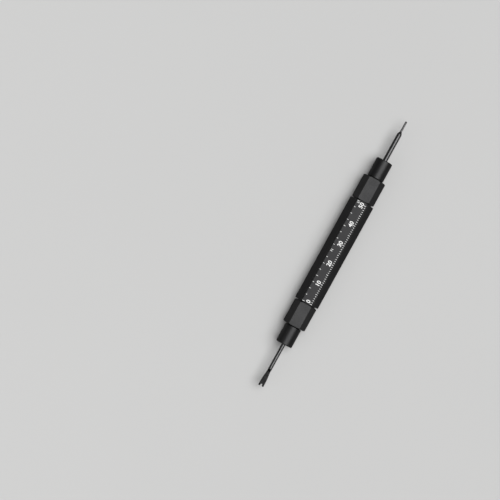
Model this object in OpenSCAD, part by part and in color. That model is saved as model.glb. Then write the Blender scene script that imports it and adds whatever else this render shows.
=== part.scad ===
// Spring bar tool: a hexagonal handle with a push pin at one end and a forked blade at the other.
// Lengths are in millimetres. The tool lies along X, its pin end at +X, on one flat of its barrel.
// Stations along the tool are distances u from the middle of the barrel towards either end.

/* [Barrel] */
// Distance across the flats of the barrel's hexagon
barrel_af = 10.3; // [9:0.05:12]
// Length of the barrel between its end faces
barrel_len = 51.6; // [40:0.1:60]
// Depth cut off each of the six long corners
edge_cut = 0.19; // [0:0.01:0.5]
// Diameter of the fine line that borders every flat
edge_line_d = 0.2; // [0.1:0.05:0.4]
// Bore of the hollow middle of the barrel
barrel_bore_d = 5; // [3:0.1:5.8]
// Major diameter of the threaded socket in each end
socket_d = 6.06; // [5.5:0.01:7]
// Depth of the threaded socket
socket_depth = 7; // [5:0.5:12]
// Break on the barrel's end corners
barrel_end_break = 0.25; // [0:0.05:0.8]

/* [Seam ring] */
// Thickness of the black ring in each seam
ring_t = 0.4; // [0.2:0.05:1]
// Outer diameter of the ring
ring_d = 8.8; // [7:0.1:9.4]
// Inner diameter of the ring
ring_bore_d = 6.1; // [6:0.05:7]

/* [Sleeve] */
// Distance across the flats of the end sleeves
sleeve_af = 9.44; // [8:0.02:11]
// Length of the hexagonal part of a sleeve
sleeve_len = 11.4; // [8:0.1:16]
// Break on the sleeve's end corners
sleeve_end_break = 0.35; // [0:0.05:1]
// Diameter of the threaded spigot that enters the barrel
spigot_d = 6; // [5:0.02:6.5]
// Length of the spigot
spigot_len = 6; // [4:0.5:10]
// Diameter of the threaded nose that carries the collar
nose_d = 5.8; // [5:0.02:6.5]
// Length of the nose
nose_len = 6.5; // [4:0.1:8]
// Depth of the thread relief beside each shoulder
relief_depth = 0.3; // [0.1:0.05:0.5]
// Width of the thread relief
relief_w = 0.7; // [0.4:0.1:1.2]
// Diameter of the tapped hole for the stop screw
screw_hole_d = 3; // [2.5:0.1:3.5]
// Depth of the tapped hole from the spigot's end
screw_hole_depth = 11; // [6:0.5:14]
// Diameter of the plain bore around the tip's shank
shank_bore_d = 2.4; // [2.25:0.05:3]

/* [Collar] */
// Outer diameter of the round collars
collar_d = 7.8; // [6.5:0.1:10]
// Length of a collar
collar_len = 9.15; // [6:0.05:12]
// Gap between the sleeve and the tightened collar
collar_gap = 0.15; // [0.05:0.05:0.5]
// Break on the collar's end edges
collar_break = 0.3; // [0:0.05:0.8]
// Major diameter of the collar's internal thread
collar_bore_d = 5.86; // [5.2:0.02:6.6]
// Depth of the internal thread
collar_bore_depth = 6.8; // [5:0.1:8]
// Hole in the collar's front face for the tip
collar_hole_d = 2.6; // [2.3:0.05:3.5]

/* [Collet] */
// Diameter of the collet's body
collet_d = 3.6; // [3:0.1:4.2]
// Length of the collet's body behind its cone
collet_body_len = 3.7; // [2:0.1:5]
// Diameter of the collet's head
collet_head_d = 4.9; // [4:0.1:5.4]
// Length of the collet's cone
collet_cone_len = 2.5; // [1:0.1:4]
// Length of the cylindrical rim at the front of the head
collet_rim_len = 0.3; // [0.1:0.05:1]
// Bore that grips the shank
collet_bore_d = 2.26; // [2:0.01:2.6]
// Width of the two crossing slits
collet_slit = 0.35; // [0.2:0.05:0.6]
// Solid length left behind the slits
collet_web = 0.9; // [0.5:0.1:2]

/* [Stop screw] */
// Diameter of the stop screw
screw_d = 2.94; // [2.4:0.02:3.4]
// Length of the stop screw
screw_len = 5; // [3:0.5:8]
// Distance across the flats of its key socket
screw_key_af = 1.5; // [1.3:0.1:2]
// Depth of its key socket
screw_key_depth = 2.2; // [1:0.1:3]
// Distance from the middle of the barrel to the screw's front face
screw_front = 28; // [24:0.5:30]

/* [Tips] */
// Diameter of both gripped shanks and of the pin tip's shaft
shank_d = 2.2; // [1.8:0.05:3]
// Reach of the pin tip beyond its collar
pin_reach = 20.1; // [12:0.1:30]
// Diameter of the push pin
pin_d = 0.9; // [0.6:0.05:1.4]
// Length of the push pin
pin_len = 5.15; // [3:0.05:8]
// Length of the cone behind the pin
pin_cone_len = 1.3; // [0.5:0.1:3]
// Reach of the fork tip beyond its collar
fork_reach = 21.3; // [12:0.1:30]
// Diameter of the fork tip's visible shaft
fork_shaft_d = 1.8; // [1.4:0.05:2.2]
// Length of the flat blade
blade_len = 8.6; // [5:0.1:14]
// Width of the blade at its end
blade_w = 2.6; // [1.8:0.1:4]
// Distance of the blade's shoulder from its end, where the outline's steep flare stops
blade_shoulder_len = 4; // [2:0.1:7]
// Width of the blade at its shoulder
blade_shoulder_w = 2.36; // [1.4:0.02:3.6]
// Width of the blade where it leaves the shaft
blade_root_w = 1.2; // [0.8:0.1:1.8]
// Thickness of the blade at its end
blade_t = 0.5; // [0.3:0.05:1]
// Depth of the notch between the two points
notch_depth = 1.1; // [0.6:0.1:3]
// Width of the notch at its mouth
notch_w = 1.1; // [0.5:0.1:2]

/* [Hidden] */
$fn = 96;
eps = 0.01;
point_break = 0.15;
handle_half = barrel_len / 2 + ring_t + sleeve_len + collar_gap + collar_len;
pin_end = handle_half + pin_reach;
fork_end = handle_half + fork_reach;
barrel_x = (fork_end - pin_end) / 2;
axis_z = barrel_af / 2;
barrel_corner = barrel_af / 2 / cos(30);
flat_w = barrel_corner - 4 * edge_cut;
barrel_out = barrel_len / 2;
sleeve_in = barrel_out + ring_t;
sleeve_out = sleeve_in + sleeve_len;
spigot_in = sleeve_in - spigot_len;
nose_out = sleeve_out + nose_len;
collar_in = sleeve_out + collar_gap;
collar_out = collar_in + collar_len;
collar_seat = collar_in + collar_bore_depth;
collet_out = collar_seat - 0.05;
collet_cone_out = collet_out - collet_rim_len;
collet_cone_in = collet_cone_out - collet_cone_len;
collet_in = collet_cone_in - collet_body_len;
collet_play = 0.03;
shank_in = screw_front + 0.05;
thread_break = 0.4;
root_t = 1.2;
flat_from = 2.2;
flat_t = 0.8;
neck_len = 0.5;

// Places children drawn along +Z on the tool's axis, reaching towards +X or -X
module towards(side) {
  translate([barrel_x, 0, axis_z])
    rotate([0, side * 90, 0])
      children();
}

// Round rod between two stations
module rod(d, u0, u1) {
  translate([0, 0, u0])
    cylinder(d = d, h = u1 - u0);
}

// Cone between two stations
module cone(d0, d1, u0, u1) {
  translate([0, 0, u0])
    cylinder(d1 = d0, d2 = d1, h = u1 - u0);
}

// Turned blank with its two ends broken: radius r, end radius smaller by b, break length a
module turned(r, b, a, u0, u1) {
  rotate_extrude()
    polygon([
      [0, u0],
      [r - b, u0],
      [r, u0 + a],
      [r, u1 - a],
      [r - b, u1],
      [0, u1]
    ]);
}

// Hexagonal bar, flats facing the local X axis
module hex_bar(af, u0, u1) {
  translate([0, 0, u0])
    rotate([0, 0, 30])
      cylinder(r = af / 2 / cos(30), h = u1 - u0, $fn = 6);
}

// Cross-section of the barrel: six flats, six narrow corner facets and a fine line along every edge
module barrel_section() {
  difference() {
    intersection() {
      rotate(30)
        circle(r = barrel_corner, $fn = 6);
      circle(r = (barrel_corner - edge_cut) / cos(30), $fn = 6);
    }
    for (face = [0 : 5])
      for (edge = [-1, 1])
        rotate(60 * face)
          translate([barrel_af / 2, edge * flat_w / 2])
            circle(d = edge_line_d);
  }
}

// Hexagonal centre of the handle, hollow, with a threaded socket in each end
module barrel() {
  color([0.07, 0.07, 0.075])
    towards(1)
      difference() {
        intersection() {
          translate([0, 0, -barrel_out])
            linear_extrude(height = barrel_len)
              barrel_section();
          turned(
            barrel_corner + eps,
            barrel_corner - barrel_af / 2 - barrel_end_break,
            barrel_end_break,
            -barrel_out,
            barrel_out
          );
        }
        rod(barrel_bore_d, -barrel_out - eps, barrel_out + eps);
        for (end = [0, 1])
          mirror([0, 0, end]) {
            rod(socket_d, barrel_out - socket_depth, barrel_out + eps);
            cone(socket_d, socket_d + thread_break, barrel_out - thread_break / 2, barrel_out);
          }
      }
}

// Thin black ring that closes the seam between the barrel and a sleeve
module seam_ring(side) {
  color([0.02, 0.02, 0.02])
    towards(side)
      difference() {
        rod(ring_d, barrel_out, sleeve_in);
        rod(ring_bore_d, barrel_out - eps, sleeve_in + eps);
      }
}

// Threaded stub: a rod with a relief groove at one end and a broken edge at the other
module stub(d, root, free) {
  out = free > root ? 1 : -1;
  translate([0, 0, root])
    mirror([0, 0, out > 0 ? 0 : 1]) {
      rod(d - 2 * relief_depth, -eps, relief_w);
      rod(d, relief_w, abs(free - root) - relief_depth);
      cone(d, d - 2 * relief_depth, abs(free - root) - relief_depth, abs(free - root));
    }
}

// Hexagonal end sleeve: spigot into the barrel, nose for the collar, bore for the tip
module sleeve(side) {
  color([0.1, 0.1, 0.105])
    towards(side)
      difference() {
        union() {
          intersection() {
            hex_bar(sleeve_af, sleeve_in, sleeve_out);
            turned(
              sleeve_af / 2 / cos(30) + eps,
              sleeve_af / 2 / cos(30) - sleeve_af / 2 - sleeve_end_break / 2,
              sleeve_end_break,
              sleeve_in,
              sleeve_out
            );
          }
          stub(spigot_d, sleeve_in, spigot_in);
          stub(nose_d, sleeve_out, nose_out);
        }
        rod(screw_hole_d, spigot_in - eps, spigot_in + screw_hole_depth);
        rod(shank_bore_d, spigot_in, nose_out + eps);
        rod(collet_d + 2 * collet_play, collet_in - collet_play, nose_out + eps);
        cone(
          collet_d + 2 * collet_play,
          collet_head_d + 2 * collet_play,
          collet_cone_in,
          collet_cone_out
        );
      }
}

// Round clamping collar that screws on to the sleeve's nose
module collar(side) {
  color([0.12, 0.12, 0.125])
    towards(side)
      difference() {
        turned(collar_d / 2, collar_break, collar_break, collar_in, collar_out);
        rod(collar_bore_d, collar_in - eps, collar_seat);
        cone(collar_bore_d + thread_break, collar_bore_d, collar_in, collar_in + thread_break / 2);
        rod(collar_hole_d, collar_seat - eps, collar_out + eps);
        cone(collar_hole_d, collar_hole_d + thread_break, collar_out - thread_break / 2, collar_out);
      }
}

// Split steel collet that the collar presses on to the tip's shank
module collet(side) {
  color([0.45, 0.45, 0.46])
    towards(side)
      difference() {
        union() {
          rod(collet_d, collet_in, collet_cone_in);
          cone(collet_d, collet_head_d, collet_cone_in, collet_cone_out);
          rod(collet_head_d, collet_cone_out, collet_out);
        }
        rod(collet_bore_d, collet_in - eps, collet_out + eps);
        for (slit = [45, 135])
          rotate([0, 0, slit])
            translate([-collet_head_d, -collet_slit / 2, collet_in + collet_web])
              cube([2 * collet_head_d, collet_slit, collet_out - collet_in]);
      }
}

// Headless screw behind the shank, which sets how far the tip goes in
module stop_screw(side) {
  color([0.3, 0.3, 0.31])
    towards(side)
      difference() {
        turned(
          screw_d / 2,
          relief_depth,
          relief_depth,
          screw_front - screw_len,
          screw_front
        );
        translate([0, 0, screw_front - screw_len - eps])
          cylinder(r = screw_key_af / 2 / cos(30), h = screw_key_depth, $fn = 6);
      }
}

// Steel tip with a slim round pin for pushing out pins and for holed lugs
module pin_tip() {
  pin_root = pin_end - pin_len;
  color([0.2, 0.2, 0.21])
    towards(1) {
      cone(shank_d - 2 * point_break, shank_d, shank_in, shank_in + point_break);
      rod(shank_d, shank_in + point_break, pin_root - pin_cone_len);
      cone(shank_d, pin_d, pin_root - pin_cone_len, pin_root);
      rod(pin_d, pin_root - eps, pin_end - point_break);
      cone(pin_d, pin_d - 2 * point_break, pin_end - point_break, pin_end);
    }
}

// Flat blade seen from above: flaring to its shoulder, then almost parallel, with a round-bottomed notch between its points
module blade_plan(u0, u1) {
  difference() {
    polygon([
      [u0, -blade_root_w / 2],
      [u1 - blade_shoulder_len, -blade_shoulder_w / 2],
      [u1 - point_break, -blade_w / 2],
      [u1, -blade_w / 2 + point_break],
      [u1, blade_w / 2 - point_break],
      [u1 - point_break, blade_w / 2],
      [u1 - blade_shoulder_len, blade_shoulder_w / 2],
      [u0, blade_root_w / 2]
    ]);
    translate([u1 - notch_depth + notch_w / 4, 0])
      circle(d = notch_w / 2);
    polygon([
      [u1 - notch_depth + notch_w / 4, -notch_w / 4],
      [u1 + eps, -notch_w / 2],
      [u1 + eps, notch_w / 2],
      [u1 - notch_depth + notch_w / 4, notch_w / 4]
    ]);
  }
}

// The same blade seen from its side: thick at the root, thin at the end
module blade_side(u0, u1) {
  polygon([
    [u0, -root_t / 2],
    [u0 + flat_from, -flat_t / 2],
    [u1, -blade_t / 2],
    [u1, blade_t / 2],
    [u0 + flat_from, flat_t / 2],
    [u0, root_t / 2]
  ]);
}

// Steel tip with a flat forked blade for pressing back a spring bar's shoulder
module fork_tip() {
  blade_root = fork_end - blade_len;
  step = collar_out - neck_len;
  color([0.2, 0.2, 0.21])
    towards(-1) {
      cone(shank_d - 2 * point_break, shank_d, shank_in, shank_in + point_break);
      rod(shank_d, shank_in + point_break, step - neck_len);
      cone(shank_d, fork_shaft_d, step - neck_len, step);
      rod(fork_shaft_d, step - eps, blade_root - neck_len);
      cone(fork_shaft_d, blade_root_w, blade_root - neck_len, blade_root + neck_len);
      intersection() {
        rotate([0, -90, 0])
          translate([0, 0, -blade_w])
            linear_extrude(height = 2 * blade_w)
              blade_plan(blade_root - neck_len, fork_end);
        rotate([90, 0, 0])
          rotate([0, 0, 90])
            translate([0, 0, -blade_w])
              linear_extrude(height = 2 * blade_w)
                blade_side(blade_root - neck_len, fork_end);
      }
    }
}

barrel();
seam_ring(1);  // pin_seam_ring
seam_ring(-1);  // fork_seam_ring
sleeve(1);  // pin_sleeve
sleeve(-1);  // fork_sleeve
collar(1);  // pin_collar
collar(-1);  // fork_collar
collet(1);  // pin_collet
collet(-1);  // fork_collet
stop_screw(1);  // pin_stop_screw
stop_screw(-1);  // fork_stop_screw
pin_tip();
fork_tip();
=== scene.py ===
"""Spring bar tool.

A black anodised hexagonal handle with a steel pin at one end and a forked blade at the other.
"""

import math
from functools import partial

import bmesh
import bpy
from bpy.props import FloatProperty, FloatVectorProperty, IntProperty, PointerProperty
from mathutils import Matrix, Vector


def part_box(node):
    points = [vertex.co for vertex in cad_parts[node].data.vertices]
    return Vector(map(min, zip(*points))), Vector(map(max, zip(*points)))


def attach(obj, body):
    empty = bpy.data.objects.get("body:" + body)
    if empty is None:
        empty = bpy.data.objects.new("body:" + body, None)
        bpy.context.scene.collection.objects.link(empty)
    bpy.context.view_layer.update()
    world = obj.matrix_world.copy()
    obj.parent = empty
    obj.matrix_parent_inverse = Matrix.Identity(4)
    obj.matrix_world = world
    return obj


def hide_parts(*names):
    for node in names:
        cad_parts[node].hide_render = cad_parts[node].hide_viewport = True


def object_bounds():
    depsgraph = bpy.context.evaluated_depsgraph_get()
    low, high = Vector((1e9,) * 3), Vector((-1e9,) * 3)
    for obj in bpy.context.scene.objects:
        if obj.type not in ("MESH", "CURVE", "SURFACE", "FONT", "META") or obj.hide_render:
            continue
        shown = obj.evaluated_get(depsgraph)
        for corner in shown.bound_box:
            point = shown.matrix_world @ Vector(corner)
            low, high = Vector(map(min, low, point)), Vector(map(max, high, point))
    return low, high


bl_info = {
    "name": "Spring bar tool",
    "version": (1, 0, 0),
    "blender": (4, 5, 0),
    "location": "View3D > Sidebar > Spring bar tool",
    "description": "Builds the handle, its sleeves and collars, the two steel tips and a studio",
    "category": "Add Mesh",
}

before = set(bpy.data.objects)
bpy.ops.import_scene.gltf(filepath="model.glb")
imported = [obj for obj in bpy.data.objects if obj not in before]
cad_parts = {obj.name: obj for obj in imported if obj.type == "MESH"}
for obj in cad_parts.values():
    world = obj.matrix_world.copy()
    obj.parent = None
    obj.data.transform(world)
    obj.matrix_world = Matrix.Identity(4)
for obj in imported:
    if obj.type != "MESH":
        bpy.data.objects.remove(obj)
CAD_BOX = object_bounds()

MM = 0.001
INCH = 25.4 * MM
WELD = 1e-7
POINT_BREAK = 0.15 * MM
END_EDGE = 1.6
SMOOTH_BELOW = math.radians(35)
COS30 = math.cos(math.pi / 6)
WHITE = (1.0, 1.0, 1.0, 1.0)
ENDS = (("pin", 1), ("fork", -1))


# ---------------------------------------------------------------- places from the CAD parts in model.glb

BARREL_LOW, BARREL_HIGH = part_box("barrel")
CENTRE_X = (BARREL_LOW[0] + BARREL_HIGH[0]) / 2
AXIS_Z = (BARREL_LOW[2] + BARREL_HIGH[2]) / 2
BARREL_HALF = (BARREL_HIGH[0] - BARREL_LOW[0]) / 2
BARREL_AF = BARREL_HIGH[2] - BARREL_LOW[2]
BARREL_ACROSS = BARREL_HIGH[1] - BARREL_LOW[1]


def span(node, side):
    """Inner and outer station of a node, measured from the middle of the barrel towards its end."""
    low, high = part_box(node)
    ends = sorted(side * (x - CENTRE_X) for x in (low[0], high[0]))
    return ends[0], ends[1]


def width(node):
    """Size of a node across the tool."""
    low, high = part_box(node)
    return high[1] - low[1]


def height(node):
    """Size of a node from its underside to its top."""
    low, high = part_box(node)
    return high[2] - low[2]


# ---------------------------------------------------------------- sizes and finishes a user may change


def length_setting(name, description, millimetres, least=0.0):
    """A length that a user may change, given in millimetres."""
    return FloatProperty(
        name=name, description=description, default=millimetres * MM, min=least * MM, unit="LENGTH"
    )


def colour_setting(name, description, value):
    """A colour that a user may change."""
    return FloatVectorProperty(
        name=name, description=description, subtype="COLOR", size=3, default=value, min=0.0, max=1.0
    )


class ToolSizes(bpy.types.PropertyGroup):
    """Small sizes that the solids leave plain."""

    edge_round: length_setting("Edge rounding", "Radius that breaks every machined edge", 0.07)
    corner_round: length_setting(
        "Corner rounding", "Radius along the long corners of the end sleeves", 0.16
    )
    edge_line: length_setting(
        "Edge line", "Width of the fine line that borders the barrel's flats", 0.2
    )
    spigot_pitch: length_setting(
        "Spigot pitch", "Pitch of the thread between barrel and sleeve", 0.75, 0.1
    )
    nose_pitch: length_setting("Nose pitch", "Pitch of the thread between sleeve and collar", 0.5, 0.1)
    thread_depth: FloatProperty(
        name="Thread depth",
        description="Depth of a thread as a share of its pitch",
        default=0.5,
        min=0.1,
        max=0.7,
        subtype="FACTOR",
    )
    ink_height: length_setting("Ink height", "How far the printed scale stands off the barrel", 0.012)
    numeral_size: length_setting("Numeral size", "Height of the millimetre numerals", 1.9, 0.2)
    turns: IntProperty(
        name="Steps round a turned face",
        description="How many flats stand for a full circle",
        default=96,
        min=24,
        max=256,
    )


class ToolFinishes(bpy.types.PropertyGroup):
    """Colours of the finishes."""

    barrel_black: colour_setting("Barrel", "Anodised colour of the barrel", (0.0235, 0.0235, 0.024))
    sleeve_black: colour_setting("Sleeves", "Anodised colour of the end sleeves", (0.030, 0.030, 0.0305))
    collar_black: colour_setting(
        "Collars", "Anodised colour of the round collars", (0.0265, 0.0265, 0.027)
    )
    tip_steel: colour_setting("Tips", "Colour of the blackened steel tips", (0.060, 0.060, 0.061))
    ink_white: colour_setting("Ink", "Colour of the printed scale", (0.86, 0.86, 0.85))
    floor_pale: colour_setting("Floor", "Colour of the studio floor", (0.46, 0.46, 0.457))


# ---------------------------------------------------------------- turned and milled shapes


def soften(profile, steps=3):
    """Rounds the corners of a closed profile of (station, radius, rounding) points.

    Gives (station, radius, wear) points, with wear 1 on the rounded corners. A corner always gives
    the same number of points, so that neighbouring profiles can be joined.
    """
    most_of_side = 0.45
    out = []
    count = len(profile)
    for i, (u, r, size) in enumerate(profile):
        if size <= 0:
            out.append((u, r, 0.0))
            continue
        here = Vector((u, r))
        before = Vector(profile[i - 1][:2]) - here
        after = Vector(profile[(i + 1) % count][:2]) - here
        cut = min(size, most_of_side * before.length, most_of_side * after.length)
        start = here + (before.normalized() * cut if before.length else before)
        end = here + (after.normalized() * cut if after.length else after)
        for k in range(steps + 1):
            t = k / steps
            p = start * (1 - t) ** 2 + here * 2 * t * (1 - t) + end * t * t
            out.append((p.x, p.y, 1.0 if 0 < k < steps else 0.0))
    return out


def circle_section(steps):
    """A round section: (angle, radius share, wear) points."""
    return [(2 * math.pi * k / steps, 1.0, 0.0) for k in range(steps)]


def as_polar(points):
    """Turns (x, y, wear) points of a section into (angle, radius, wear)."""
    return [(math.atan2(y, x), math.hypot(x, y), wear) for x, y, wear in points]


def turn(points, angle):
    """Turns (x, y, wear) points about the axis."""
    c, s = math.cos(angle), math.sin(angle)
    return [(x * c - y * s, x * s + y * c, wear) for x, y, wear in points]


def round_cornered_hexagon(across, rounding, flat_steps=14, arc_steps=5):
    """Hexagonal section with rounded corners, as polar points. One flat faces up."""
    apothem = across / 2
    half_flat = (apothem - rounding) * math.tan(math.pi / 6)
    side = [
        (apothem, half_flat * (2 * k / flat_steps - 1), 0.0)
        for k in range(flat_steps + 1)
    ]
    middle = (apothem - rounding) / COS30
    cx, cy = middle * COS30, middle * math.sin(math.pi / 6)
    for k in range(1, arc_steps):
        a = math.pi / 3 * k / arc_steps
        side.append((cx + rounding * math.cos(a), cy + rounding * math.sin(a), 1.0))
    return as_polar([p for face in range(6) for p in turn(side, face * math.pi / 3)])


def lined_hexagon(across, corner, line, flat_steps=14, groove_steps=5):
    """Hexagonal section with a narrow facet on each corner and a fine groove along each edge of a flat.

    The wear is 1 on the facets and -1 in the grooves, where it marks painted shade.
    """
    apothem = across / 2
    full = apothem / COS30
    half_flat = full / 2 - 2 * (full - corner)
    r = line / 2
    flat_end = half_flat - r
    side = [
        (apothem, flat_end * (2 * k / flat_steps - 1), 0.0)
        for k in range(flat_steps + 1)
    ]
    groove = []
    first, sweep = math.radians(270), math.radians(150)
    for k in range(1, groove_steps + 1):
        a = first - sweep * k / groove_steps
        # -1 marks the groove for painted shade; the point that meets the facet takes wear 1.
        wear = -1.0 if k < groove_steps else 1.0
        groove.append((apothem + r * math.cos(a), half_flat + r * math.sin(a), wear))
    facet = turn([(corner, 0.0, 1.0)], math.pi / 6)
    mirrored = turn([(x, -y, w) for x, y, w in reversed(groove)], math.pi / 3)
    side += groove + facet + mirrored
    return as_polar([p for face in range(6) for p in turn(side, face * math.pi / 3)])


def place(side, u, across, up):
    """A point on the tool: station u towards one end, then across and up from the axis."""
    return Vector((CENTRE_X + side * u, side * across, AXIS_Z + up))


def linked(name, data):
    """A new object in the scene."""
    made = bpy.data.objects.new(name, data)
    bpy.context.scene.collection.objects.link(made)
    return made


def as_mesh(name, bm):
    """A mesh from a bmesh, with its faces turned outwards. The bmesh is freed."""
    bmesh.ops.recalc_face_normals(bm, faces=bm.faces)
    mesh = bpy.data.meshes.new(name)
    bm.to_mesh(mesh)
    bm.free()
    return mesh


def baked(carrier):
    """The evaluated mesh of an object, which is then removed."""
    graph = bpy.context.evaluated_depsgraph_get()
    mesh = bpy.data.meshes.new_from_object(carrier.evaluated_get(graph), depsgraph=graph)
    bpy.data.objects.remove(carrier)
    return mesh


def finished(name, bm, body, nodes, material):
    """Turns a bmesh into a piece of the tool that rides on a body and stands for its CAD nodes."""
    bmesh.ops.remove_doubles(bm, verts=bm.verts, dist=WELD)
    bmesh.ops.dissolve_degenerate(bm, edges=bm.edges, dist=WELD)
    mesh = as_mesh(name, bm)
    mesh.polygons.foreach_set("use_smooth", [True] * len(mesh.polygons))
    mesh.set_sharp_from_angle(angle=SMOOTH_BELOW)
    mesh.materials.append(material)
    piece = linked(name, mesh)
    hold = piece.modifiers.new("Flat faces stay flat", "WEIGHTED_NORMAL")
    hold.keep_sharp = True
    hold.weight = 80
    register_piece(piece, body, nodes)
    return piece


def register_piece(piece, body, nodes=()):
    """Parents a piece to the empty of its body and hides the CAD nodes that it stands for."""
    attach(piece, body)
    if nodes:
        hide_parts(*nodes)


def spun(section, profile, side, closed=True):
    """A bmesh made by carrying a profile round a section.

    profile(radius, angle) gives the softened (station, radius, wear) points at one angle of the section.
    A closed profile makes a ring; an open one starts and ends on the axis.
    """
    bm = bmesh.new()
    wear_and_shade = bm.verts.layers.float.new("wear")
    columns = []
    for angle, radius, wear in section:
        column = []
        for u, r, rim in profile(radius, angle):
            v = bm.verts.new(place(side, u, r * math.sin(angle), r * math.cos(angle)))
            # A negative wear is a groove mark for painted shade and passes through unchanged.
            v[wear_and_shade] = max(rim, wear) if wear >= 0 else wear
            column.append(v)
        columns.append(column)
    count = len(columns)
    rows = len(columns[0])
    last = rows if closed else rows - 1
    for i in range(count):
        here, there = columns[i], columns[(i + 1) % count]
        for k in range(last):
            n = (k + 1) % rows
            bm.faces.new((here[k], here[n], there[n], there[k]))
    return bm


def thread(start, end, crest, pitch, depth, angle, side_steps=6):
    """Profile points of a right-hand external thread between two stations, running out at both ends."""
    steepness, crest_flat, least_fade = 2.6, 0.15, 0.2
    points = []
    steps = max(4, round((end - start) / pitch * side_steps))
    for k in range(steps + 1):
        u = start + (end - start) * k / steps
        phase = (u / pitch - angle / (2 * math.pi)) % 1.0
        ridge = min(1.0, max(0.0, steepness * abs(phase - 0.5) - crest_flat))
        fade = min(1.0, (end - u) / pitch + least_fade, (u - start) / pitch + least_fade)
        points.append((u, crest - depth * ridge * fade, 0.0))
    return points


def hexagon_end(radius, end_radius, slope, edge):
    """Where a turned end meets a hexagonal bar: radius on the end face, and reach of the break."""
    crease = max(edge, (radius - end_radius) * slope)
    rim = min(radius - 0.6 * edge, end_radius)
    return rim, crease


# ---------------------------------------------------------------- shader groups and finishes


def new_group(name, inputs, outputs):
    """An empty shader node group with named float or vector inputs and outputs."""
    group = bpy.data.node_groups.new(name, "ShaderNodeTree")
    for label, kind, value in inputs:
        socket = group.interface.new_socket(label, in_out="INPUT", socket_type=kind)
        if value is not None:
            socket.default_value = value
    for label, kind in outputs:
        group.interface.new_socket(label, in_out="OUTPUT", socket_type=kind)
    return group, group.nodes.new("NodeGroupInput"), group.nodes.new("NodeGroupOutput")


def set_inputs(tree, node, **values):
    """Sets a node's inputs by name, from numbers, colours or the sockets to link."""
    for label, value in values.items():
        socket = node.inputs[label.replace("_", " ")]
        if isinstance(value, bpy.types.NodeSocket):
            tree.links.new(value, socket)
        else:
            socket.default_value = value


def math_node(tree, operation, a, b, clamp=False):
    """A math node fed by sockets or numbers."""
    node = tree.nodes.new("ShaderNodeMath")
    node.operation = operation
    node.use_clamp = clamp
    for socket, value in zip(node.inputs, (a, b)):
        if isinstance(value, (int, float)):
            socket.default_value = value
        else:
            tree.links.new(value, socket)
    return node.outputs[0]


def noise_node(tree, vector, scale, detail=3.0):
    """Fractal noise on a vector, with a scale per metre."""
    node = tree.nodes.new("ShaderNodeTexNoise")
    set_inputs(tree, node, Vector=vector, Scale=scale, Detail=detail)
    return node.outputs["Fac"]


def blasted_grain():
    """Group: the fine blasted grain of anodised metal and its slow cloudiness."""
    if "Blasted grain" in bpy.data.node_groups:
        return bpy.data.node_groups["Blasted grain"]
    tree, given, out = new_group(
        "Blasted grain",
        [
            ("Vector", "NodeSocketVector", None),
            ("Grain per metre", "NodeSocketFloat", 15000.0),
            ("Clouds per metre", "NodeSocketFloat", 180.0),
        ],
        [("Height", "NodeSocketFloat"), ("Cloud", "NodeSocketFloat"), ("Speck", "NodeSocketFloat")],
    )
    calc = partial(math_node, tree)
    vector, grain_scale, cloud_scale = given.outputs[:3]
    fine = noise_node(tree, vector, grain_scale, 4.0)
    coarse = noise_node(tree, vector, calc("MULTIPLY", grain_scale, 0.31), 2.0)
    cloud = noise_node(tree, vector, cloud_scale, 3.0)
    height = calc("ADD", fine, calc("MULTIPLY", coarse, 0.3))
    set_inputs(tree, out, Height=height, Cloud=cloud, Speck=fine)
    return tree


def turning_marks():
    """Group: fine rings left by a lathe, running round the tool's axis."""
    if "Turning marks" in bpy.data.node_groups:
        return bpy.data.node_groups["Turning marks"]
    tree, given, out = new_group(
        "Turning marks",
        [("Vector", "NodeSocketVector", None), ("Rings per metre", "NodeSocketFloat", 7000.0)],
        [("Height", "NodeSocketFloat"), ("Streak", "NodeSocketFloat")],
    )
    calc = partial(math_node, tree)
    vector, ring_scale = given.outputs[:2]
    parts = tree.nodes.new("ShaderNodeSeparateXYZ")
    tree.links.new(vector, parts.inputs[0])
    along = tree.nodes.new("ShaderNodeCombineXYZ")
    set_inputs(tree, along, X=parts.outputs["X"])
    rings = noise_node(tree, along.outputs[0], ring_scale, 2.0)
    wide = noise_node(tree, along.outputs[0], calc("MULTIPLY", ring_scale, 0.12), 2.0)
    streak = calc("ADD", calc("MULTIPLY", wide, 0.6), calc("MULTIPLY", rings, 0.4))
    set_inputs(tree, out, Height=rings, Streak=streak)
    return tree


def edge_wear_and_groove_shade():
    """Group: bared edges, and painted shade that darkens the grooves, from the wear marks on the mesh.
    """
    if "Edge wear and groove shade" in bpy.data.node_groups:
        return bpy.data.node_groups["Edge wear and groove shade"]
    tree, given, out = new_group(
        "Edge wear and groove shade",
        [
            ("Vector", "NodeSocketVector", None),
            ("Wear", "NodeSocketFloat", 0.0),
            ("Amount", "NodeSocketFloat", 0.5),
        ],
        [("Bare", "NodeSocketFloat"), ("Crevice", "NodeSocketFloat")],
    )
    calc = partial(math_node, tree)
    vector, wear, amount = given.outputs[:3]
    patches_per_metre = 700.0
    patches = calc("SUBTRACT", noise_node(tree, vector, patches_per_metre, 4.0), 0.35)
    patches = calc("MULTIPLY", patches, 2.2, clamp=True)
    bare = calc("MULTIPLY", calc("MAXIMUM", wear, 0.0), patches)
    bare = calc("MULTIPLY", bare, amount, clamp=True)
    # Painted shade: a wear mark of -1 in a groove darkens it.
    groove_shade = calc("MULTIPLY", calc("MINIMUM", wear, 0.0), -1.0, clamp=True)
    set_inputs(tree, out, Bare=bare, Crevice=groove_shade)
    return tree


def placed_group(tree, group, **values):
    """A group node in a material, with its inputs set by name."""
    node = tree.nodes.new("ShaderNodeGroup")
    node.node_tree = group
    set_inputs(tree, node, **values)
    return node


def scaled(colour, factor, added=0.0):
    """A colour made lighter or darker."""
    return tuple(min(1.0, c * factor + added) for c in colour)


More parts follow.
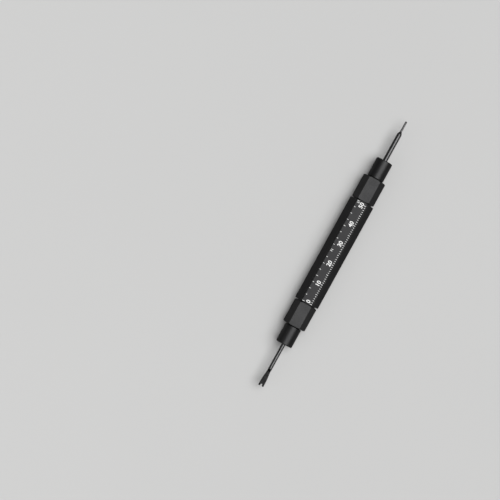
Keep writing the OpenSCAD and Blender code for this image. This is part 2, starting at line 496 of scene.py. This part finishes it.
def mixed(tree, factor, low, high):
    """A colour between two, chosen by a factor."""
    node = tree.nodes.new("ShaderNodeMix")
    node.data_type = "RGBA"
    sockets = [s for s in node.inputs if s.enabled]
    for socket, value in zip(sockets, (factor, low, high)):
        if isinstance(value, bpy.types.NodeSocket):
            tree.links.new(value, socket)
        elif isinstance(value, (int, float)):
            socket.default_value = value
        else:
            socket.default_value = (*value[:3], 1.0)
    return next(s for s in node.outputs if s.enabled)


def mapped(tree, value, low, high):
    """Noise, which keeps near a half, spread between two limits."""
    node = tree.nodes.new("ShaderNodeMapRange")
    set_inputs(tree, node, Value=value, From_Min=0.3, From_Max=0.7, To_Min=low, To_Max=high)
    return node.outputs["Result"]


def bare_material(name):
    """A new node material: its tree, its shader and its object coordinates."""
    material = bpy.data.materials.new(name)
    material.use_nodes = True
    tree = material.node_tree
    coordinates = tree.nodes.new("ShaderNodeTexCoord").outputs["Object"]
    return material, tree, tree.nodes["Principled BSDF"], coordinates


def bumped(tree, shader, height, strength, distance):
    """Feeds a height to the shader as a bump."""
    bump = tree.nodes.new("ShaderNodeBump")
    set_inputs(tree, bump, Strength=strength, Distance=distance, Height=height)
    set_inputs(tree, shader, Normal=bump.outputs["Normal"])


def wear_and_shade_attribute(tree):
    """The wear, with the groove marks for painted shade, stored on the mesh."""
    node = tree.nodes.new("ShaderNodeAttribute")
    node.attribute_name = "wear"
    return node.outputs["Fac"]


def anodised(name, colour, rough, turned=0.0, wear=0.5, grain_scale=15000.0, spread=0.16):
    """Black anodised aluminium: blasted grain, slow cloudiness, worn edges, painted shade in the
    grooves, optional turning marks.
    """
    if name in bpy.data.materials:
        return bpy.data.materials[name]
    material, tree, shader, at = bare_material(name)
    calc = partial(math_node, tree)
    grain = placed_group(tree, blasted_grain(), Vector=at, Grain_per_metre=grain_scale).outputs
    wear_and_shade = placed_group(tree, edge_wear_and_groove_shade(), Vector=at, Wear=wear_and_shade_attribute(tree), Amount=wear).outputs
    uneven = calc("ADD", mapped(tree, grain["Cloud"], 0.0, 0.4), mapped(tree, grain["Speck"], 0.0, 0.6))
    base = mixed(tree, uneven, scaled(colour, 1 - spread), scaled(colour, 1 + spread))
    base = mixed(tree, wear_and_shade["Bare"], base, scaled(colour, 3.2, 0.03))
    # Painted shade: the grooves go almost black.
    base = mixed(tree, wear_and_shade["Crevice"], base, (0.006, 0.006, 0.006))
    roughness = mapped(tree, grain["Cloud"], rough - 0.008, rough + 0.012)
    roughness = calc("SUBTRACT", roughness, calc("MULTIPLY", wear_and_shade["Bare"], 0.15))
    set_inputs(
        tree,
        shader,
        Metallic=0.85,
        Specular_IOR_Level=0.2,
        Specular_Tint=(0.5, 0.5, 0.5, 1.0),
        Base_Color=base,
        Roughness=roughness,
    )
    height = grain["Height"]
    if turned:
        marks = placed_group(tree, turning_marks(), Vector=at).outputs
        height = calc("ADD", height, calc("MULTIPLY", marks["Height"], turned))
    bumped(tree, shader, height, 0.35, 0.02 * MM)
    return material


def blackened_steel(name, colour, rough, rings=9000.0):
    """Hardened steel, blackened: drawn and turned rings, uneven oxide and brighter edges."""
    if name in bpy.data.materials:
        return bpy.data.materials[name]
    material, tree, shader, at = bare_material(name)
    calc = partial(math_node, tree)
    marks = placed_group(tree, turning_marks(), Vector=at, Rings_per_metre=rings).outputs
    grain = placed_group(
        tree, blasted_grain(), Vector=at, Grain_per_metre=16000.0, Clouds_per_metre=520.0
    ).outputs
    wear_and_shade = placed_group(tree, edge_wear_and_groove_shade(), Vector=at, Wear=wear_and_shade_attribute(tree), Amount=0.7).outputs
    oxide = mapped(tree, grain["Cloud"], 0.0, 1.0)
    base = mixed(tree, oxide, scaled(colour, 0.75), scaled(colour, 1.2))
    base = mixed(tree, calc("MULTIPLY", marks["Streak"], 0.12), base, scaled(colour, 1.6))
    base = mixed(tree, wear_and_shade["Bare"], base, scaled(colour, 2.0, 0.1))
    roughness = mapped(tree, marks["Streak"], rough - 0.05, rough + 0.08)
    set_inputs(tree, shader, Metallic=1.0, Base_Color=base, Roughness=roughness)
    height = calc("ADD", marks["Height"], calc("MULTIPLY", grain["Height"], 0.3))
    bumped(tree, shader, height, 0.25, 0.01 * MM)
    return material


def grained(name, low, high, rough, grain_scale, cloud_scale, bump):
    """A matte surface with a fine grain, cloudy between two colours and between two roughnesses."""
    if name in bpy.data.materials:
        return bpy.data.materials[name]
    material, tree, shader, at = bare_material(name)
    grain = placed_group(
        tree, blasted_grain(), Vector=at, Grain_per_metre=grain_scale, Clouds_per_metre=cloud_scale
    ).outputs
    base = mixed(tree, mapped(tree, grain["Cloud"], 0.0, 1.0), low, high)
    set_inputs(tree, shader, Base_Color=base, Roughness=mapped(tree, grain["Cloud"], *rough))
    bumped(tree, shader, grain["Height"], 0.3, bump)
    return material


def black_rubber(name):
    """Matte black rubber with a soft bloom."""
    dark, bloom = (0.006, 0.006, 0.006), (0.016, 0.016, 0.016)
    return grained(name, dark, bloom, (0.55, 0.7), 14000.0, 900.0, 0.01 * MM)


def printed_ink(name, colour):
    """Pale print with the metal's grain showing faintly through."""
    return grained(name, scaled(colour, 0.86), colour, (0.5, 0.62), 12000.0, 1500.0, 0.006 * MM)


def studio_floor(name, colour):
    """Pale matte floor with a trace of unevenness."""
    material, tree, shader, at = bare_material(name)
    clouds_per_metre = 6.0
    tone = mapped(tree, noise_node(tree, at, clouds_per_metre), 0.0, 1.0)
    set_inputs(tree, shader, Base_Color=mixed(tree, tone, scaled(colour, 0.985), colour), Roughness=0.75)
    return material


# ---------------------------------------------------------------- the pieces


class TOOL_OT_barrel(bpy.types.Operator):
    """Hexagonal barrel with a fine line along each edge and a plain bored socket in each end"""

    bl_idname = "spring_bar_tool.barrel"
    bl_label = "Barrel"

    def execute(self, context):
        sizes = context.scene.tool_sizes
        finish = context.scene.tool_finishes
        section = lined_hexagon(BARREL_AF, BARREL_ACROSS / 2, sizes.edge_line)
        end_break = 0.25 * MM
        end_radius = BARREL_AF / 2 + end_break
        slope = end_break / (BARREL_AF / 2 / COS30 - end_radius)
        socket, depth, bore = 3.03 * MM, 7 * MM, 2.5 * MM
        chamfer = 0.2 * MM
        soft = sizes.edge_round

        def profile(radius, angle):
            rim, crease = hexagon_end(radius, end_radius, slope, END_EDGE * soft)
            end = BARREL_HALF
            outer = [(end, rim, soft), (end - crease, radius, soft)]
            inner = [
                (end - depth, bore, 0.0),
                (end - depth, socket, 0.0),
                (end - chamfer, socket, 0.0),
                (end, socket + chamfer, 0.5 * soft),
            ]
            low = [(-u, r, size) for u, r, size in reversed(inner + outer)]
            return soften(outer + low + inner)

        finished(
            "barrel_body",
            spun(section, profile, 1),
            "barrel",
            ["barrel"],
            anodised("Barrel black", finish.barrel_black, 0.44, wear=0.5),
        )
        return {"FINISHED"}


def tick_tree():
    """Geometry Nodes tree: a row of thin bars along X, with a longer one each so many."""
    tree = bpy.data.node_groups.new("Scale ticks", "GeometryNodeTree")
    tree.interface.new_socket("Geometry", in_out="OUTPUT", socket_type="NodeSocketGeometry")
    for label, kind, value in (
        ("Count", "NodeSocketInt", 51),
        ("Spacing", "NodeSocketFloat", MM),
        ("Thickness", "NodeSocketFloat", 0.15 * MM),
        ("Length", "NodeSocketFloat", MM),
        ("Middle length", "NodeSocketFloat", 1.4 * MM),
        ("Long length", "NodeSocketFloat", 1.8 * MM),
        ("Middle every", "NodeSocketInt", 5),
        ("Long every", "NodeSocketInt", 10),
        ("Ink height", "NodeSocketFloat", 0.01 * MM),
        ("Start", "NodeSocketVector", (0.0, 0.0, 0.0)),
        ("Inward", "NodeSocketFloat", 1.0),
        ("Ink", "NodeSocketMaterial", None),
    ):
        socket = tree.interface.new_socket(label, in_out="INPUT", socket_type=kind)
        if value is not None:
            socket.default_value = value
    given = tree.nodes.new("NodeGroupInput").outputs
    calc = partial(math_node, tree)

    def node(kind, **values):
        made = tree.nodes.new(kind)
        set_inputs(tree, made, **values)
        return made.outputs[0]

    def extra(every, longer, shorter):
        index = node("GeometryNodeInputIndex")
        chosen = calc("COMPARE", calc("FLOORED_MODULO", index, given[every]), 0.0)
        return calc("MULTIPLY", chosen, calc("SUBTRACT", given[longer], given[shorter]))

    step = node("ShaderNodeCombineXYZ", X=given["Spacing"])
    row = node("GeometryNodeMeshLine", Count=given["Count"], Start_Location=given["Start"], Offset=step)
    extra_middle = extra("Middle every", "Middle length", "Length")
    extra_long = extra("Long every", "Long length", "Middle length")
    length = calc("ADD", given["Length"], calc("ADD", extra_middle, extra_long))
    inward = calc("MULTIPLY", calc("MULTIPLY", length, 0.5), given["Inward"])
    shift = node("ShaderNodeCombineXYZ", Y=inward)
    row = node("GeometryNodeSetPosition", Geometry=row, Offset=shift)
    bar = node("GeometryNodeMeshCube", Size=(1.0, 1.0, 1.0))
    size = node("ShaderNodeCombineXYZ", X=given["Thickness"], Y=length, Z=given["Ink height"])
    ticks = node("GeometryNodeInstanceOnPoints", Points=row, Instance=bar, Scale=size)
    ticks = node("GeometryNodeRealizeInstances", Geometry=ticks)
    ticks = node("GeometryNodeSetMaterial", Geometry=ticks, Material=given["Ink"])
    set_inputs(tree, tree.nodes.new("NodeGroupOutput"), Geometry=ticks)
    return tree


def grown(name, tree, values):
    """A plain mesh object from a Geometry Nodes tree with its inputs set by name."""
    carrier = linked(name + "_carrier", bpy.data.meshes.new(name + "_carrier"))
    modifier = carrier.modifiers.new("Nodes", "NODES")
    modifier.node_group = tree
    for item in tree.interface.items_tree:
        if item.item_type == "SOCKET" and item.in_out == "INPUT" and item.name in values:
            modifier[item.identifier] = values[item.name]
    mesh = baked(carrier)
    mesh.name = name
    if mesh.materials[0] is None:
        mesh.materials.pop(index=0)
    return linked(name, mesh)


def numeral_mesh(text, size, centre, thickness):
    """A flat numeral as a mesh, its middle at centre."""
    capital_share, boldness = 0.72, 0.018
    curve = bpy.data.curves.new("numeral", "FONT")
    curve.body = text
    curve.size = size / capital_share
    curve.align_x = "CENTER"
    curve.align_y = "CENTER"
    curve.offset = boldness * size
    curve.extrude = thickness / 2
    curve.resolution_u = 4
    mesh = baked(linked("numeral", curve))
    bpy.data.curves.remove(curve)
    low = [min(v.co[k] for v in mesh.vertices) for k in range(2)]
    high = [max(v.co[k] for v in mesh.vertices) for k in range(2)]
    middle = Vector(((low[0] + high[0]) / 2, (low[1] + high[1]) / 2, 0.0))
    mesh.transform(Matrix.Translation(Vector(centre) - middle))
    return mesh


class TOOL_OT_scale(bpy.types.Operator):
    """Printed scale on the barrel's top flat, in millimetres and in eighths of an inch"""

    bl_idname = "spring_bar_tool.scale"
    bl_label = "Printed scale"

    def execute(self, context):
        sizes = context.scene.tool_sizes
        finish = context.scene.tool_finishes
        ink = printed_ink("Scale ink", finish.ink_white)
        margin = 0.12 * MM
        corner_cut = BARREL_AF / 2 / COS30 - BARREL_ACROSS / 2
        half_flat = BARREL_AF / 4 / COS30 - 2 * corner_cut
        edge = half_flat - sizes.edge_line / 2 - margin
        zero = CENTRE_X - INCH
        top = BARREL_HIGH[2]
        tree = tick_tree()
        shared = {
            "Length": 0.62 * MM,
            "Middle length": 0.85 * MM,
            "Long length": 1.1 * MM,
            "Ink height": 2 * sizes.ink_height,
            "Ink": ink,
        }
        for name, count, spacing, thickness, every, inward in (
            ("scale_millimetres", 51, MM, 0.16 * MM, (5, 10), 1.0),
            ("scale_eighths", 17, INCH / 8, 0.18 * MM, (4, 8), -1.0),
        ):
            own = {
                "Count": count,
                "Spacing": spacing,
                "Thickness": thickness,
                "Middle every": every[0],
                "Long every": every[1],
                "Start": (zero, -inward * edge, top),
                "Inward": inward,
            }
            register_piece(grown(name, tree, {**shared, **own}), "barrel")

        # The end numerals move inwards to stay on the flat, and the inch numerals clear their marks.
        big = sizes.numeral_size
        tens_row, inch_row = -0.22 * MM, 1.6 * MM
        nudge = {0: 0.7 * MM, 5: -0.45 * MM}
        numerals = [
            (str(10 * tens), big, zero + tens * 10 * MM + nudge.get(tens, 0.0), tens_row)
            for tens in range(6)
        ]
        numerals.append(("1", 0.55 * big, zero + INCH + 0.75 * MM, inch_row))
        numerals.append(("2", 0.52 * big, zero + 2 * INCH - 0.75 * MM, inch_row))
        bm = bmesh.new()
        for text, size, x, y in numerals:
            mesh = numeral_mesh(text, size, (x, y, top), 2 * sizes.ink_height)
            bm.from_mesh(mesh)
            bpy.data.meshes.remove(mesh)
        bmesh.ops.remove_doubles(bm, verts=bm.verts, dist=WELD)
        mesh = as_mesh("scale_numerals", bm)
        mesh.materials.append(ink)
        register_piece(linked("scale_numerals", mesh), "barrel")
        return {"FINISHED"}


class TOOL_OT_seam_rings(bpy.types.Operator):
    """Black ring in the seam at each end of the barrel"""

    bl_idname = "spring_bar_tool.seam_rings"
    bl_label = "Seam rings"

    def execute(self, context):
        sizes = context.scene.tool_sizes
        section = circle_section(sizes.turns)
        rubber = black_rubber("Ring rubber")
        for end, side in ENDS:
            node = end + "_seam_ring"
            u0, u1 = span(node, side)
            outer, inner = width(node) / 2, 3.05 * MM
            crown, soft = (u1 - u0) * 0.5, 0.05 * MM

            def profile(radius, angle):
                points = [(u0, inner, soft), (u0, outer, crown), (u1, outer, crown), (u1, inner, soft)]
                return soften(points, 4)

            ring = spun(section, profile, side)
            finished(node + "_rubber", ring, end + "_ring", [node], rubber)
        return {"FINISHED"}


class TOOL_OT_sleeves(bpy.types.Operator):
    """Hexagonal end sleeves, each with a threaded spigot for the barrel and a threaded nose"""

    bl_idname = "spring_bar_tool.sleeves"
    bl_label = "End sleeves"

    def execute(self, context):
        sizes = context.scene.tool_sizes
        finish = context.scene.tool_finishes
        black = anodised(
            "Sleeve black", finish.sleeve_black, 0.46, wear=0.3, grain_scale=2600.0, spread=0.32
        )
        soft = sizes.edge_round
        collar_gap, end_break, crest_drop, play = 0.15 * MM, 0.35 * MM, 0.04 * MM, 0.02 * MM
        spigot, nose, relief, groove = 3 * MM, 2.9 * MM, 0.3 * MM, 0.7 * MM
        cone_mouth, cone_depth, collet_bore = 2.48 * MM, 2.4 * MM, 1.83 * MM
        shank_bore, screw_hole, screw_depth = 1.2 * MM, 1.5 * MM, 11 * MM
        for end, side in ENDS:
            node = end + "_sleeve"
            back, front = span(node, side)
            seam = span(end + "_seam_ring", side)[1]
            shoulder = span(end + "_collar", side)[0] - collar_gap
            across = height(node)
            section = round_cornered_hexagon(across, sizes.corner_round)
            end_radius = across / 2 + end_break / 2
            slope = end_break / (across / 2 / COS30 - end_radius)
            collet_back, cone_back = span(end + "_collet", side)[0], front - cone_depth

            def profile(radius, angle):
                rim, crease = hexagon_end(radius, end_radius, slope, END_EDGE * soft)
                points = [(back, spigot - relief, soft), (back + relief, spigot - crest_drop, 0.0)]
                points += thread(
                    back + relief + play,
                    seam - groove - play,
                    spigot,
                    sizes.spigot_pitch,
                    sizes.thread_depth * sizes.spigot_pitch,
                    angle,
                )
                points += [
                    (seam - groove, spigot - relief, 0.0),
                    (seam, spigot - relief, 0.0),
                    (seam, rim, soft),
                    (seam + crease, radius, soft),
                    (shoulder - crease, radius, soft),
                    (shoulder, rim, soft),
                    (shoulder, nose - relief, 0.0),
                    (shoulder + groove, nose - relief, 0.0),
                ]
                points += thread(
                    shoulder + groove + play,
                    front - relief - play,
                    nose,
                    sizes.nose_pitch,
                    sizes.thread_depth * sizes.nose_pitch,
                    angle,
                )
                points += [
                    (front - relief, nose - crest_drop, 0.0),
                    (front, nose - relief, 0.0),
                    (front, cone_mouth, 0.0),
                    (cone_back, collet_bore, 0.0),
                    (collet_back, collet_bore, 0.0),
                    (collet_back, shank_bore, 0.0),
                    (back + screw_depth, shank_bore, 0.0),
                    (back + screw_depth, screw_hole, 0.0),
                    (back, screw_hole, 0.0),
                ]
                return soften(points)

            finished(node + "_body", spun(section, profile, side), node, [node], black)
        return {"FINISHED"}


class TOOL_OT_collars(bpy.types.Operator):
    """Round clamping collars with broken edges"""

    bl_idname = "spring_bar_tool.collars"
    bl_label = "Collars"

    def execute(self, context):
        sizes = context.scene.tool_sizes
        finish = context.scene.tool_finishes
        section = circle_section(sizes.turns)
        black = anodised("Collar black", finish.collar_black, 0.40, turned=1.8, wear=0.6)
        soft = sizes.edge_round
        end_break, chamfer = 0.3 * MM, 0.2 * MM
        bore, bore_depth, hole = 2.93 * MM, 6.8 * MM, 1.3 * MM
        for end, side in ENDS:
            node = end + "_collar"
            u0, u1 = span(node, side)
            outer = width(node) / 2
            seat = u0 + bore_depth

            def profile(radius, angle):
                points = [
                    (u0, outer - end_break, soft),
                    (u0 + end_break, outer, soft),
                    (u1 - end_break, outer, soft),
                    (u1, outer - end_break, soft),
                    (u1, hole + chamfer, soft),
                    (u1 - chamfer / 2, hole, 0.0),
                    (seat, hole, 0.0),
                    (seat, bore, 0.0),
                    (u0 + chamfer, bore, 0.0),
                    (u0, bore + chamfer, 0.0),
                ]
                return soften(points)

            finished(node + "_body", spun(section, profile, side), node, [node], black)
        return {"FINISHED"}


def lofted(stations, side, steps):
    """A solid bmesh through superellipse sections.

    A section is (station, half width, half thickness, squareness, wear).
    """
    bm = bmesh.new()
    wear_and_shade = bm.verts.layers.float.new("wear")
    rows = []
    for u, across, up, power, wear in stations:
        row = []
        for k in range(steps):
            a = 2 * math.pi * (k + 0.5) / steps
            c, s = math.cos(a), math.sin(a)
            y = across * math.copysign(abs(c) ** (2 / power), c)
            z = up * math.copysign(abs(s) ** (2 / power), s)
            v = bm.verts.new(place(side, u, y, z))
            v[wear_and_shade] = wear
            row.append(v)
        rows.append(row)
    for low, high in zip(rows, rows[1:]):
        for k in range(steps):
            n = (k + 1) % steps
            bm.faces.new((low[k], low[n], high[n], high[k]))
    bm.faces.new(rows[0])
    bm.faces.new(list(reversed(rows[-1])))
    return bm


class TOOL_OT_pin_tip(bpy.types.Operator):
    """Steel tip with a slim round pin"""

    bl_idname = "spring_bar_tool.pin_tip"
    bl_label = "Pin tip"

    def execute(self, context):
        sizes = context.scene.tool_sizes
        finish = context.scene.tool_finishes
        steel = blackened_steel("Tip steel", finish.tip_steel, 0.26)
        u0, u1 = span("pin_tip", 1)
        shank = width("pin_tip") / 2
        pin, length, cone = 0.45 * MM, 5.15 * MM, 1.3 * MM
        root = u1 - length
        soft = 2.5 * sizes.edge_round

        def profile(radius, angle):
            points = [
                (u0, 0.0, 0.0),
                (u0, shank - POINT_BREAK, 0.0),
                (u0 + POINT_BREAK, shank, soft),
                (root - cone, shank, soft),
                (root, pin, soft),
                (u1 - POINT_BREAK, pin, soft),
                (u1, pin - POINT_BREAK, soft),
                (u1, 0.0, 0.0),
            ]
            return soften(points)

        finished(
            "pin_tip_steel",
            spun(circle_section(sizes.turns // 2), profile, 1, closed=False),
            "pin_tip",
            ["pin_tip"],
            steel,
        )
        return {"FINISHED"}


def blade_stations(blade, end, shaft, half):
    """Loft sections of the blade: round at the shaft, flaring to a shoulder, then almost parallel."""
    root_w, flat_t, end_t = 0.6 * MM, 0.4 * MM, 0.25 * MM
    shoulder, shoulder_w = end - 4.0 * MM, 1.18 * MM
    taper_from, flat_from = blade - 0.5 * MM, blade + 1.3 * MM
    round_power, flat_power = 2.0, 7.0

    def half_width(u):
        if u < shoulder:
            return root_w + (shoulder_w - root_w) * (u - taper_from) / (shoulder - taper_from)
        return shoulder_w + (half - shoulder_w) * (u - shoulder) / (end - shoulder)

    stations = []
    taper_steps = 6
    for k in range(1, taper_steps + 1):
        t = k / taper_steps
        ease = t * t * (3 - 2 * t)
        u = taper_from + (flat_from - taper_from) * t
        w = shaft + (half_width(flat_from) - shaft) * ease
        h = shaft + (flat_t - shaft) * ease
        stations.append((u, w, h, round_power + (flat_power - round_power) * ease, 0.1))
    run_steps = 12
    for k in range(1, run_steps + 1):
        t = k / run_steps
        u = flat_from + (end - POINT_BREAK - flat_from) * t
        stations.append((u, half_width(u), flat_t + (end_t - flat_t) * t, flat_power, 0.15))
    stations.append((end - 0.04 * MM, half - 0.07 * MM, end_t * 0.95, 6.0, 0.8))
    stations.append((end, half - POINT_BREAK, end_t * 0.7, 5.0, 1.0))
    return stations


def notch_cutter(end):
    """A round-bottomed wedge that cuts the notch between the blade's two points."""
    depth, mouth, floor_r, beyond = 1.1 * MM, 0.61 * MM, 0.275 * MM, 0.3 * MM
    floor_steps = 8
    bottom = end - depth + floor_r
    outline = [(end + beyond, -mouth)]
    for k in range(floor_steps + 1):
        a = math.pi * k / floor_steps
        outline.append((bottom - floor_r * math.sin(a), -floor_r * math.cos(a)))
    outline.append((end + beyond, mouth))
    bm = bmesh.new()
    low = [bm.verts.new(place(-1, u, y, -MM)) for u, y in outline]
    high = [bm.verts.new(place(-1, u, y, MM)) for u, y in outline]
    bm.faces.new(low)
    bm.faces.new(list(reversed(high)))
    for k in range(len(outline)):
        n = (k + 1) % len(outline)
        bm.faces.new((low[k], high[k], high[n], low[n]))
    return bm


class TOOL_OT_fork_tip(bpy.types.Operator):
    """Steel tip with a flat blade, notched at its end, the blade in a much darker copy of the steel as
    painted shade
    """

    bl_idname = "spring_bar_tool.fork_tip"
    bl_label = "Fork tip"

    def execute(self, context):
        finish = context.scene.tool_finishes
        steel = blackened_steel("Tip steel", finish.tip_steel, 0.26)
        # Painted shade: the blade takes a copy of the tip steel darkened to 0.12 of its colour.
        shaded_blade_steel = blackened_steel("Blade steel", scaled(finish.tip_steel, 0.12), 0.36, rings=5000.0)
        u0, u1 = span("fork_tip", -1)
        shank, half = height("fork_tip") / 2, width("fork_tip") / 2
        shaft, neck, taper = 0.9 * MM, 0.5 * MM, 0.25 * MM
        step = span("fork_collar", -1)[1] - neck
        blade = u1 - 8.6 * MM
        stations = [
            (u0, shank - POINT_BREAK, shank - POINT_BREAK, 2.0, 0.5),
            (u0 + POINT_BREAK, shank, shank, 2.0, 0.2),
            (step - neck, shank, shank, 2.0, 0.2),
            (step, shaft, shaft, 2.0, 0.0),
            (blade - neck - taper, shaft, shaft, 2.0, 0.0),
            (blade - neck, shaft * 0.98, shaft * 0.98, 2.0, 0.1),
        ]
        stations += blade_stations(blade, u1, shaft, half)
        body = linked("fork", as_mesh("fork", lofted(stations, -1, 64)))
        cutter = linked("notch", as_mesh("notch", notch_cutter(u1)))
        cut = body.modifiers.new("Notch", "BOOLEAN")
        cut.operation = "DIFFERENCE"
        cut.solver = "EXACT"
        cut.object = cutter
        notched = baked(body)
        bpy.data.objects.remove(cutter)
        bm = bmesh.new()
        bm.from_mesh(notched)
        bpy.data.meshes.remove(notched)
        piece = finished("fork_tip_steel", bm, "fork_tip", ["fork_tip"], steel)
        piece.data.materials.append(shaded_blade_steel)
        # The blade's faces take the darkened steel with its painted shade.
        for face in piece.data.polygons:
            if face.center.x < CENTRE_X - blade:
                face.material_index = 1
        return {"FINISHED"}


class TOOL_OT_inner_parts(bpy.types.Operator):
    """Finish of the split collets and stop screws inside the handle"""

    bl_idname = "spring_bar_tool.inner_parts"
    bl_label = "Collets and stop screws"

    def execute(self, context):
        collet = blackened_steel("Collet steel", (0.48, 0.48, 0.49), 0.3, rings=6000.0)
        screw = blackened_steel("Screw steel", (0.14, 0.14, 0.145), 0.35)
        for end, _ in ENDS:
            for node, material in ((end + "_collet", collet), (end + "_stop_screw", screw)):
                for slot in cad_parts[node].material_slots:
                    slot.material = material
        return {"FINISHED"}


# ---------------------------------------------------------------- the studio


def soft_light(name, kind, energy, toward, **settings):
    """A wide soft light at a point, or from its direction for a sun, aimed at the middle of the tool."""
    data = bpy.data.lights.new(name, kind)
    data.energy = energy
    for setting, value in settings.items():
        setattr(data, setting, value)
    light = linked(name, data)
    light.location = toward
    light.rotation_mode = "QUATERNION"
    light.rotation_quaternion = (Vector((0, 0, AXIS_Z)) - Vector(toward)).to_track_quat("-Z", "Y")


def soft_room(ambient, seen):
    """World of even light, with its own paler tone where the camera looks past the floor."""
    world = bpy.data.worlds.new("Soft room")
    world.use_nodes = True
    tree = world.node_tree
    nodes, links = tree.nodes, tree.links
    around, backdrop = nodes["Background"], nodes.new("ShaderNodeBackground")
    set_inputs(tree, around, Color=WHITE, Strength=ambient)
    set_inputs(tree, backdrop, Color=WHITE, Strength=seen)
    chosen = nodes.new("ShaderNodeMixShader")
    links.new(nodes.new("ShaderNodeLightPath").outputs["Is Camera Ray"], chosen.inputs[0])
    links.new(around.outputs[0], chosen.inputs[1])
    links.new(backdrop.outputs[0], chosen.inputs[2])
    set_inputs(tree, nodes["World Output"], Surface=chosen.outputs[0])
    return world


class TOOL_OT_stage(bpy.types.Operator):
    """Pale floor, soft lights and a camera straight above the tool"""

    bl_idname = "spring_bar_tool.stage"
    bl_label = "Studio"

    def execute(self, context):
        scene = context.scene
        bm = bmesh.new()
        bmesh.ops.create_grid(bm, x_segments=4, y_segments=4, size=25.0)
        mesh = bpy.data.meshes.new("floor")
        bm.to_mesh(mesh)
        bm.free()
        mesh.materials.append(studio_floor("Floor paper", scene.tool_finishes.floor_pale))
        floor = linked("floor", mesh)
        floor.location = (0, 0, CAD_BOX[0][2] - 0.02 * MM)

        scene.world = soft_room(ambient=0.16, seen=0.64)
        scene.view_settings.view_transform = "Standard"
        soft_light("Overhead softbox", "SUN", 3.7, (0.15, -0.24, 0.75), angle=math.radians(58))
        soft_light("Side fill", "AREA", 0.9, (-0.45, 0.5, 0.55), size=0.6)

        # The camera looks straight down, turned so that the tool leans and shifted to one side of it.
        heading = math.radians(-61.1)
        frame_width = 0.2241
        shift = Vector((-0.03745, 0.00168, 0.9))
        data = bpy.data.cameras.new("Camera")
        data.sensor_width = 36.0
        data.lens = data.sensor_width * shift.z / frame_width
        data.clip_start = 0.01
        camera = linked("Camera", data)
        camera.location = Vector((0, 0, AXIS_Z)) + Matrix.Rotation(heading, 3, "Z") @ shift
        camera.rotation_euler = (0, 0, heading)
        scene.camera = camera
        return {"FINISHED"}


# ---------------------------------------------------------------- panel and run order

STEPS = (
    TOOL_OT_barrel,
    TOOL_OT_scale,
    TOOL_OT_seam_rings,
    TOOL_OT_sleeves,
    TOOL_OT_collars,
    TOOL_OT_pin_tip,
    TOOL_OT_fork_tip,
    TOOL_OT_inner_parts,
    TOOL_OT_stage,
)


class TOOL_PT_panel(bpy.types.Panel):
    """Lists the pieces and the sizes and colours they use"""

    bl_label = "Spring bar tool"
    bl_idname = "TOOL_PT_panel"
    bl_space_type = "VIEW_3D"
    bl_region_type = "UI"
    bl_category = "Spring bar tool"

    def draw(self, context):
        layout = self.layout
        for step in STEPS:
            layout.operator(step.bl_idname)
        for group in (context.scene.tool_sizes, context.scene.tool_finishes):
            for name in group.bl_rna.properties.keys():
                if name not in ("rna_type", "name"):
                    layout.prop(group, name)


CLASSES = (ToolSizes, ToolFinishes, *STEPS, TOOL_PT_panel)


def register():
    """Adds the classes and the two groups of properties to Blender."""
    for cls in CLASSES:
        bpy.utils.register_class(cls)
    bpy.types.Scene.tool_sizes = PointerProperty(type=ToolSizes)
    bpy.types.Scene.tool_finishes = PointerProperty(type=ToolFinishes)


def unregister():
    """Takes them away again."""
    del bpy.types.Scene.tool_finishes
    del bpy.types.Scene.tool_sizes
    for cls in reversed(CLASSES):
        bpy.utils.unregister_class(cls)


def main():
    """Builds every piece in order."""
    register()
    for step in STEPS:
        group, name = step.bl_idname.split(".")
        getattr(getattr(bpy.ops, group), name)()


if __name__ == "__main__":
    main()
